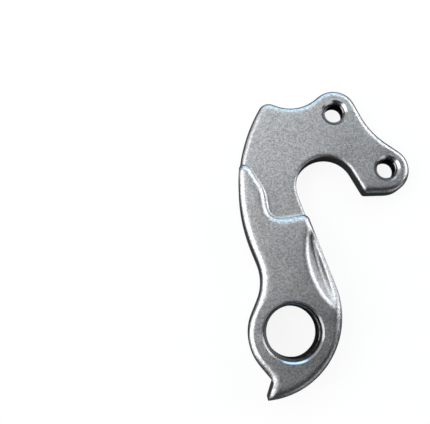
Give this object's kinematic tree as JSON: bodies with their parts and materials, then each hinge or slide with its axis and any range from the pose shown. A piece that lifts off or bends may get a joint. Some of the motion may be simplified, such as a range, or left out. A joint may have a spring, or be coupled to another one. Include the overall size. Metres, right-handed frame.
{
  "type": "bicycle derailleur hanger",
  "caption": "Hook-shaped bicycle derailleur hanger with a stepped arm, an open axle slot, screw lugs, a derailleur thread and a stop tab.",
  "frame": {"origin": "where the axis of the derailleur thread meets the outer face", "axes": "+Z from the outer face to the inner face, along the derailleur thread; +Y from that thread up to the screw lugs; +X towards the side the axle slot opens to"},
  "size_m": [0.0307, 0.055, 0.0078],
  "materials": {
    "satin_aluminium": "bead-blasted and clear anodised"
  },
  "bodies": {
    "root": {"hanger": "satin_aluminium"}
  },
  "joints": []
}
